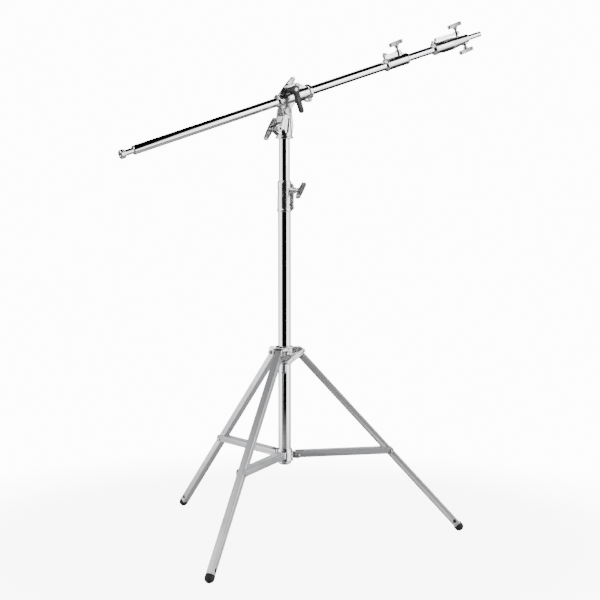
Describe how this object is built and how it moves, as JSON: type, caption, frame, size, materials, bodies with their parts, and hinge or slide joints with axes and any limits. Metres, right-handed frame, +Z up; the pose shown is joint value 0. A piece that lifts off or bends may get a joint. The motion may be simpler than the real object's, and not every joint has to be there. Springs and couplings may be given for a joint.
{
  "type": "combination boom stand",
  "caption": "Folding tripod stand with square legs and channel braces, a telescopic chrome column and a tilting, telescopic boom with a spigot at its tip.",
  "frame": {"origin": "on the floor, under the column's axis", "axes": "+Z up along the column; the boom's tip points 30 degrees from +X towards +Y; the front leg points to -Y"},
  "size_m": [0.9955, 0.8771, 1.4442],
  "materials": {
    "chrome_tube": "bright chrome plate with drawn marks",
    "chrome_stud": "turned and plated",
    "cast_metal": "cast and polished, plated",
    "handle_metal": "die cast, plated, with recessed wings",
    "leg_steel": "satin chrome on square tube",
    "brace_steel": "satin chrome on pressed channel",
    "fastener_steel": "zinc plated",
    "dark_steel": "blackened",
    "rubber_foot": "moulded rubber",
    "guide_plastic": "moulded plastic",
    "lever_plastic": "fine textured black plastic",
    "brass_pad": "machined"
  },
  "bodies": {
    "column": {"lower_column_tube": "chrome_tube", "column_base_cap": "cast_metal", "brace_hub": "cast_metal", "hub_pins": "fastener_steel", "column_collar": "cast_metal", "column_guide_bush": "guide_plastic", "column_collar_shoe": "brass_pad", "column_collar_pin": "dark_steel"},
    "column_collar_knob": {"column_collar_knob": "handle_metal", "column_collar_screw": "fastener_steel"},
    "leg_collar": {"leg_collar": "cast_metal", "leg_pivot_bolts": "fastener_steel"},
    "leg_collar_knob": {"leg_collar_knob": "handle_metal", "leg_collar_screw": "fastener_steel"},
    "brace_right": {"brace_right": "brace_steel"},
    "leg_right": {"leg_tube_right": "leg_steel", "foot_right": "rubber_foot", "leg_rivet_right": "fastener_steel"},
    "brace_left": {"brace_left": "brace_steel"},
    "leg_left": {"leg_tube_left": "leg_steel", "foot_left": "rubber_foot", "leg_rivet_left": "fastener_steel"},
    "brace_front": {"brace_front": "brace_steel"},
    "leg_front": {"leg_tube_front": "leg_steel", "foot_front": "rubber_foot", "leg_rivet_front": "fastener_steel"},
    "upper_column": {"upper_column_tube": "chrome_tube", "upper_column_guide": "guide_plastic"},
    "head": {"head_socket": "cast_metal", "head_pinch_bolt": "fastener_steel", "tilt_bolt": "fastener_steel", "tilt_nut": "fastener_steel"},
    "head_pinch_knob": {"head_pinch_knob": "handle_metal"},
    "boom_clamp": {"boom_clamp": "cast_metal", "boom_clamp_liner": "guide_plastic", "clamp_hinge_bolt": "fastener_steel", "clamp_knob_bolt": "fastener_steel"},
    "clamp_lever": {"clamp_lever": "lever_plastic", "clamp_lever_bolt": "fastener_steel"},
    "clamp_knob": {"clamp_knob": "handle_metal"},
    "boom": {"boom_tube": "chrome_tube", "boom_rear_stud": "chrome_stud", "boom_collar": "cast_metal", "boom_collar_bush": "guide_plastic", "boom_collar_pin": "dark_steel"},
    "boom_collar_knob": {"boom_collar_knob": "handle_metal", "boom_collar_screw": "fastener_steel"},
    "extension": {"extension_tube": "chrome_tube", "extension_guide": "guide_plastic", "tip_fitting": "cast_metal", "tip_clamp_arm": "cast_metal", "tip_clamp_pin": "dark_steel"},
    "tip_knob": {"tip_knob": "handle_metal", "tip_screw": "fastener_steel"},
    "spigot_knob": {"spigot_knob": "handle_metal", "spigot_screw": "fastener_steel"},
    "tip_spigot": {"tip_spigot": "chrome_stud"}
  },
  "joints": [
    {"name": "leg_collar_slide", "type": "slide", "parent": "column", "child": "leg_collar", "axis": [0, 0, 1], "range_m": [0, 0.35459]},
    {"name": "brace_right_fold", "type": "hinge", "parent": "column", "child": "brace_right", "pos_m": [0.0356, 0.00538, 0.231], "axis": [0.1495, -0.9888, 0], "range_deg": [0, 85.96]},
    {"name": "leg_right_fold", "type": "hinge", "parent": "brace_right", "child": "leg_right", "pos_m": [0.2928, 0.04428, 0.23418], "axis": [-0.1495, 0.9888, 0], "range_deg": [0, 126.81]},
    {"name": "brace_left_fold", "type": "hinge", "parent": "column", "child": "brace_left", "pos_m": [-0.02246, 0.02814, 0.231], "axis": [0.7815, 0.6239, 0], "range_deg": [0, 85.96]},
    {"name": "leg_left_fold", "type": "hinge", "parent": "brace_left", "child": "leg_left", "pos_m": [-0.18475, 0.23143, 0.23418], "axis": [-0.7815, -0.6239, 0], "range_deg": [0, 126.81]},
    {"name": "brace_front_fold", "type": "hinge", "parent": "column", "child": "brace_front", "pos_m": [-0.01314, -0.03352, 0.231], "axis": [-0.9311, 0.3649, 0], "range_deg": [0, 85.96]},
    {"name": "leg_front_fold", "type": "hinge", "parent": "brace_front", "child": "leg_front", "pos_m": [-0.10805, -0.27571, 0.23418], "axis": [0.9311, -0.3649, 0], "range_deg": [0, 126.81]},
    {"name": "leg_collar_knob_turn", "type": "hinge", "parent": "leg_collar", "child": "leg_collar_knob", "pos_m": [0.0265, -0.0424, 0.512], "axis": [0.5299, -0.848, 0], "continuous": true},
    {"name": "column_collar_knob_turn", "type": "hinge", "parent": "column", "child": "column_collar_knob", "pos_m": [0.03759, -0.01368, 0.961], "axis": [0.9397, -0.342, 0], "continuous": true},
    {"name": "upper_column_slide", "type": "slide", "parent": "column", "child": "upper_column", "axis": [0, 0, 1], "range_m": [-0.095, 0.5]},
    {"name": "head_pan", "type": "hinge", "parent": "upper_column", "child": "head", "pos_m": [0, 0, 1.12], "axis": [0, 0, 1], "continuous": true},
    {"name": "head_pinch_knob_turn", "type": "hinge", "parent": "head", "child": "head_pinch_knob", "pos_m": [-0.03665, 0.01348, 1.127], "axis": [-0.5, 0.866, 0], "continuous": true},
    {"name": "boom_tilt", "type": "hinge", "parent": "head", "child": "boom_clamp", "pos_m": [0, 0, 1.1727], "axis": [0.5, -0.866, 0], "range_deg": [-62, 44]},
    {"name": "clamp_lever_turn", "type": "hinge", "parent": "boom_clamp", "child": "clamp_lever", "pos_m": [0.02591, -0.03123, 1.23087], "axis": [0.5, -0.866, 0], "continuous": true},
    {"name": "clamp_knob_turn", "type": "hinge", "parent": "boom_clamp", "child": "clamp_knob", "pos_m": [0.00968, 0.05178, 1.24361], "axis": [-0.5, 0.866, 0], "continuous": true},
    {"name": "boom_slide", "type": "slide", "parent": "boom_clamp", "child": "boom", "axis": [0.8268, 0.4774, 0.2974], "range_m": [-0.24, 0.42]},
    {"name": "boom_collar_knob_turn", "type": "hinge", "parent": "boom", "child": "boom_collar_knob", "pos_m": [0.31336, 0.18092, 1.36553], "axis": [-0.2575, -0.1487, 0.9548], "continuous": true},
    {"name": "extension_slide", "type": "slide", "parent": "boom", "child": "extension", "axis": [0.8268, 0.4774, 0.2974], "range_m": [-0.085, 0.25]},
    {"name": "tip_knob_turn", "type": "hinge", "parent": "extension", "child": "tip_knob", "pos_m": [0.48829, 0.28191, 1.42321], "axis": [-0.2575, -0.1487, 0.9548], "continuous": true},
    {"name": "spigot_knob_turn", "type": "hinge", "parent": "extension", "child": "spigot_knob", "pos_m": [0.52285, 0.30187, 1.36232], "axis": [0.2575, 0.1487, -0.9548], "continuous": true},
    {"name": "tip_spigot_turn", "type": "hinge", "parent": "extension", "child": "tip_spigot", "pos_m": [0.52918, 0.30552, 1.39602], "axis": [0.8268, 0.4774, 0.2974], "continuous": true}
  ],
  "couplings": [
    {"joint": "brace_right_fold", "follows": "leg_collar_slide", "rad_per_m": 4.2302},
    {"joint": "leg_right_fold", "follows": "leg_collar_slide", "rad_per_m": 6.2407},
    {"joint": "brace_left_fold", "follows": "leg_collar_slide", "rad_per_m": 4.2302},
    {"joint": "leg_left_fold", "follows": "leg_collar_slide", "rad_per_m": 6.2407},
    {"joint": "brace_front_fold", "follows": "leg_collar_slide", "rad_per_m": 4.2302},
    {"joint": "leg_front_fold", "follows": "leg_collar_slide", "rad_per_m": 6.2407}
  ]
}
